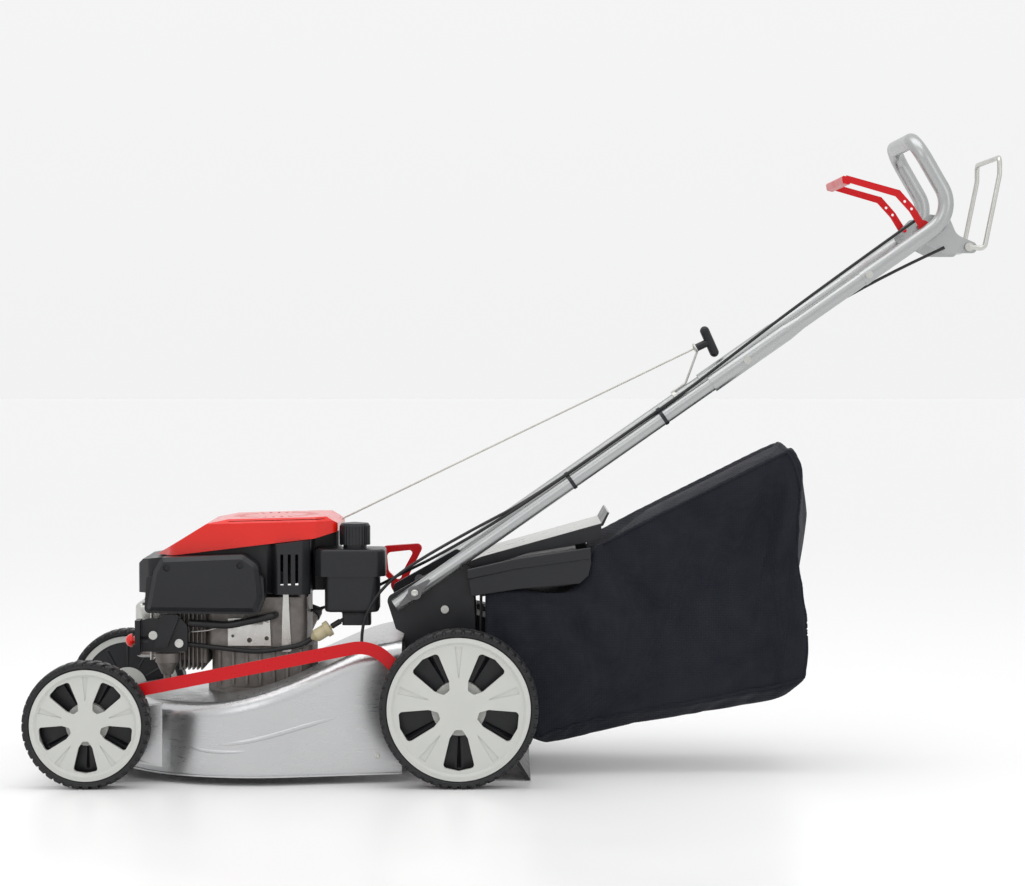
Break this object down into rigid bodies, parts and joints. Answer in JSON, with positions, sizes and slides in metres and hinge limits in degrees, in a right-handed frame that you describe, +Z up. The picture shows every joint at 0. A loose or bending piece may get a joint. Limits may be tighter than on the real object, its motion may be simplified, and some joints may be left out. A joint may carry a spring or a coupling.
{
  "type": "lawn mower",
  "caption": "Self-propelled rotary lawn mower with steel deck, petrol engine, folding handle, bails, lever height adjuster and rear grass bag.",
  "frame": {"origin": "on the ground below the middle of the machine's overall box", "axes": "+X direction of travel, +Y operator's left, +Z up"},
  "size_m": [1.5556, 0.56, 1.0356],
  "materials": {
    "steel_deck": "satin silver",
    "black_plastic": "fine grain",
    "red_plastic": "gloss",
    "red_paint": "powder coat",
    "cast_metal": "as cast",
    "plated_steel": "zinc plated",
    "blade_steel": "bare edge",
    "wheel_plastic": "satin",
    "tyre_rubber": "moulded",
    "silver_tube": "silver paint",
    "grey_plastic": "satin",
    "hose_rubber": "smooth",
    "cream_plastic": "translucent look",
    "rope_white": "braided",
    "bag_fabric": "woven polyester"
  },
  "bodies": {
    "deck": {"deck_housing": "steel_deck", "axle_bracket": "steel_deck", "rear_housing": "black_plastic", "engine_block": "cast_metal", "blower_housing": "black_plastic", "top_cover": "red_plastic", "air_filter_cover": "black_plastic", "intake_bracket": "black_plastic", "carburettor": "cast_metal", "muffler": "plated_steel", "spark_plug": "hose_rubber", "fuel_tank": "black_plastic", "fuel_strainer": "cream_plastic", "hoses": "hose_rubber", "control_plate": "plated_steel", "screws": "plated_steel", "gearbox": "cast_metal", "starter_rope": "rope_white"},
    "crank": {"crankshaft": "plated_steel", "flywheel": "blade_steel", "blade_adapter": "blade_steel", "blade": "blade_steel", "blade_bolt": "plated_steel"},
    "fuel_cap": {"fuel_cap": "black_plastic"},
    "dipstick": {"dipstick": "black_plastic"},
    "primer": {"primer_bulb": "red_plastic"},
    "governor": {"governor_lever": "plated_steel"},
    "drive_shaft": {"drive_shaft": "plated_steel"},
    "front_axle": {"front_axle": "plated_steel"},
    "rear_carrier": {"rear_carrier": "red_paint", "rear_wheel_bolts": "plated_steel", "height_lever": "red_paint"},
    "link": {"link_bar": "red_paint"},
    "front_left_wheel": {"front_left_disc": "wheel_plastic", "front_left_tyre": "tyre_rubber"},
    "front_right_wheel": {"front_right_disc": "wheel_plastic", "front_right_tyre": "tyre_rubber"},
    "rear_left_wheel": {"rear_left_disc": "wheel_plastic", "rear_left_tyre": "tyre_rubber"},
    "rear_right_wheel": {"rear_right_disc": "wheel_plastic", "rear_right_tyre": "tyre_rubber"},
    "handle": {"lower_tube_left": "silver_tube", "lower_tube_right": "silver_tube", "upper_tube_left": "silver_tube", "upper_tube_right": "silver_tube", "handle_bow": "silver_tube", "handle_bolts": "plated_steel", "rope_guide": "plated_steel", "cable_ties": "black_plastic", "stop_cable": "hose_rubber", "drive_cable": "hose_rubber"},
    "wing_left": {"wing_lever_left": "grey_plastic"},
    "wing_right": {"wing_lever_right": "grey_plastic"},
    "grip": {"starter_grip": "black_plastic"},
    "stop_bail": {"stop_bail": "red_paint"},
    "drive_bail": {"drive_bail": "plated_steel"},
    "rear_flap": {"rear_flap": "black_plastic"},
    "trailing_flap": {"trailing_flap": "hose_rubber"},
    "bag": {"bag_frame": "black_plastic", "bag_fabric": "bag_fabric"}
  },
  "joints": [
    {"name": "crankshaft_spin", "type": "hinge", "parent": "deck", "child": "crank", "pos_m": [0.412, 0, 0.06], "axis": [0, 0, 1], "continuous": true},
    {"name": "fuel_cap_twist", "type": "hinge", "parent": "deck", "child": "fuel_cap", "pos_m": [0.266, 0.078, 0.39], "axis": [0, 0, 1], "range_deg": [0, 120]},
    {"name": "dipstick_twist", "type": "hinge", "parent": "deck", "child": "dipstick", "pos_m": [0.35, -0.112, 0.236], "axis": [-0.3337, -0.6357, 0.6961], "range_deg": [0, 90]},
    {"name": "primer_press", "type": "slide", "parent": "deck", "child": "primer", "axis": [-1, 0, 0], "range_m": [0, 0.005], "stiffness_N_per_m": 400},
    {"name": "governor_turn", "type": "hinge", "parent": "deck", "child": "governor", "pos_m": [0.377, 0.09, 0.21], "axis": [0, 1, 0], "range_deg": [-10, 4], "stiffness_Nm_per_rad": 0.2},
    {"name": "drive_shaft_spin", "type": "hinge", "parent": "deck", "child": "drive_shaft", "pos_m": [0.14868, 0, 0.09964], "axis": [0, 1, 0], "continuous": true},
    {"name": "rear_height_swing", "type": "hinge", "parent": "deck", "child": "rear_carrier", "pos_m": [0.14868, 0, 0.09964], "axis": [0, -1, 0], "range_deg": [0, 50]},
    {"name": "front_height_swing", "type": "hinge", "parent": "deck", "child": "front_axle", "pos_m": [0.73218, 0, 0.07464], "axis": [0, -1, 0], "range_deg": [0, 50]},
    {"name": "link_pivot", "type": "hinge", "parent": "front_axle", "child": "link", "pos_m": [0.73718, 0.226, 0.12164], "axis": [0, -1, 0], "range_deg": [-50, 0]},
    {"name": "handle_fold", "type": "hinge", "parent": "deck", "child": "handle", "pos_m": [0.1667, 0, 0.2975], "axis": [0, 1, 0], "range_deg": [0, 105], "deforming": ["starter_rope", "stop_cable", "drive_cable"]},
    {"name": "stop_bail_press", "type": "hinge", "parent": "handle", "child": "stop_bail", "pos_m": [-0.651, 0, 0.886], "axis": [0, -1, 0], "range_deg": [0, 42], "stiffness_Nm_per_rad": 0.6},
    {"name": "drive_bail_press", "type": "hinge", "parent": "handle", "child": "drive_bail", "pos_m": [-0.7256, 0, 0.852], "axis": [0, 1, 0], "range_deg": [0, 42], "stiffness_Nm_per_rad": 0.6},
    {"name": "wing_left_turn", "type": "hinge", "parent": "handle", "child": "wing_left", "pos_m": [0.1667, 0.14, 0.2975], "axis": [0, 1, 0], "continuous": true},
    {"name": "wing_right_turn", "type": "hinge", "parent": "handle", "child": "wing_right", "pos_m": [0.1667, -0.14, 0.2975], "axis": [0, 1, 0], "continuous": true},
    {"name": "starter_pull", "type": "slide", "parent": "handle", "child": "grip", "axis": [-0.8, 0, 0.6], "range_m": [0, 0.38]},
    {"name": "rear_flap_lift", "type": "hinge", "parent": "deck", "child": "rear_flap", "pos_m": [0.097, 0, 0.33], "axis": [0, 1, 0], "range_deg": [0, 33], "stiffness_Nm_per_rad": 0.8},
    {"name": "trailing_flap_swing", "type": "hinge", "parent": "deck", "child": "trailing_flap", "pos_m": [0.086, 0, 0.095], "axis": [0, 1, 0], "range_deg": [0, 11]},
    {"name": "bag_lift_off", "type": "slide", "parent": "deck", "child": "bag", "axis": [-0.989, 0, 0.148], "range_m": [0, 0.25]},
    {"name": "front_left_spin", "type": "hinge", "parent": "front_axle", "child": "front_left_wheel", "pos_m": [0.6778, 0.258, 0.1], "axis": [0, 1, 0], "continuous": true},
    {"name": "front_right_spin", "type": "hinge", "parent": "front_axle", "child": "front_right_wheel", "pos_m": [0.6778, -0.258, 0.1], "axis": [0, 1, 0], "continuous": true},
    {"name": "rear_left_spin", "type": "hinge", "parent": "rear_carrier", "child": "rear_left_wheel", "pos_m": [0.0943, 0.258, 0.125], "axis": [0, 1, 0], "continuous": true},
    {"name": "rear_right_spin", "type": "hinge", "parent": "rear_carrier", "child": "rear_right_wheel", "pos_m": [0.0943, -0.258, 0.125], "axis": [0, 1, 0], "continuous": true}
  ],
  "couplings": [
    {"joint": "front_height_swing", "follows": "rear_height_swing", "ratio": 1},
    {"joint": "link_pivot", "follows": "rear_height_swing", "ratio": -1}
  ]
}
